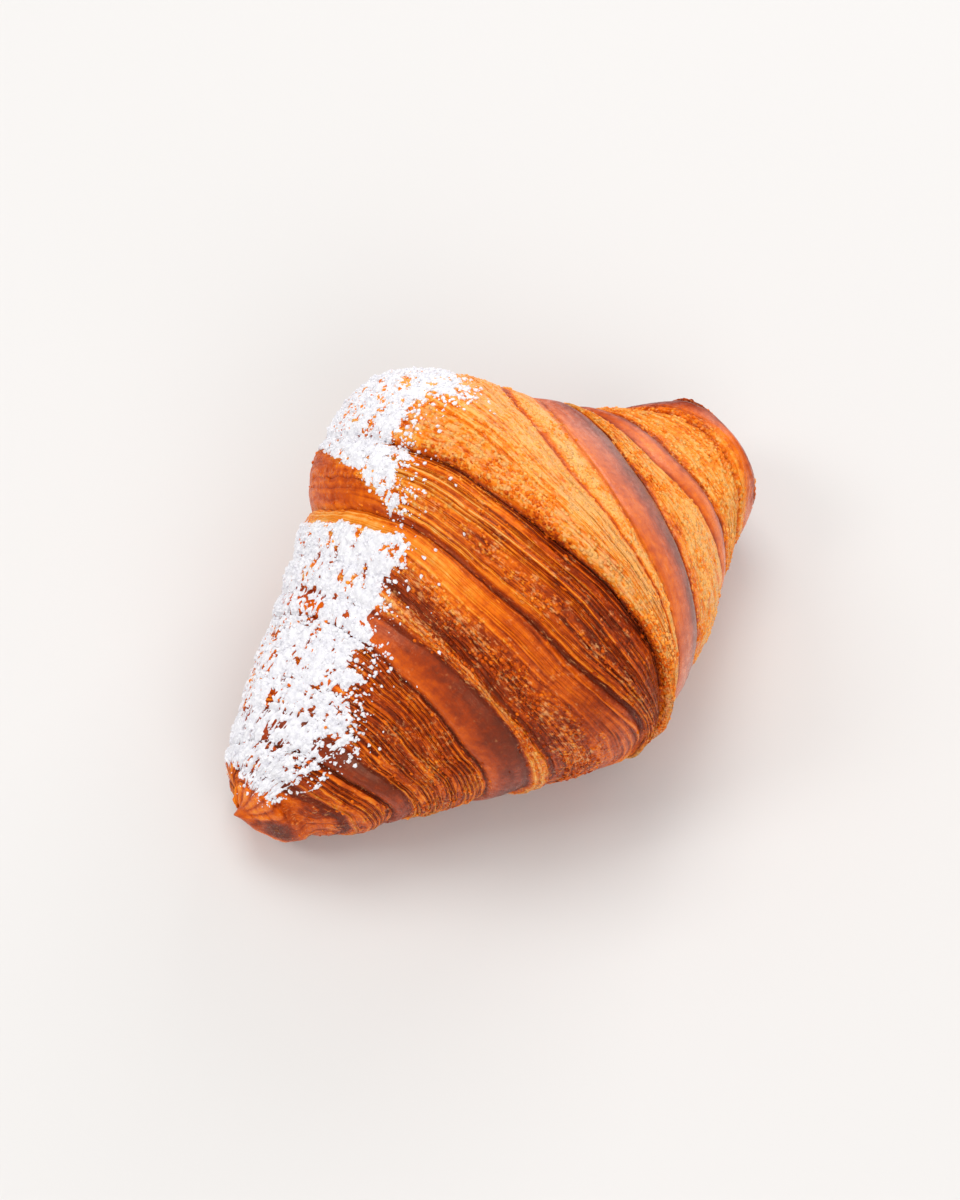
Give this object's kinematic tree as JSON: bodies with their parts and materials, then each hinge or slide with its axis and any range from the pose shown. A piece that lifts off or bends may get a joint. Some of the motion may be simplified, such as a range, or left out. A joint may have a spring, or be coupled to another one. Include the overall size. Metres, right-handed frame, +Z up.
{
  "type": "croissant",
  "caption": "Straight plump butter croissant of rolled laminated dough, with raised overlapping turns, a deep crease over the crown, rolled blunt ends and a flat underside to rest on.",
  "frame": {"origin": "middle of the bounding box in plan, on the flat underside", "axes": "+X along the roll towards the tip that lies higher, +Y towards the sugared far side, +Z up"},
  "size_m": [0.1346, 0.0968, 0.0696],
  "materials": {
    "baked_crust": "egg-washed baked butter pastry: glossy mahogany bands, orange-brown layer ribs and paler cream flaky ridges",
    "icing_sugar": "matt white icing sugar in small clumps"
  },
  "bodies": {
    "root": {"croissant": "baked_crust"}
  },
  "joints": []
}
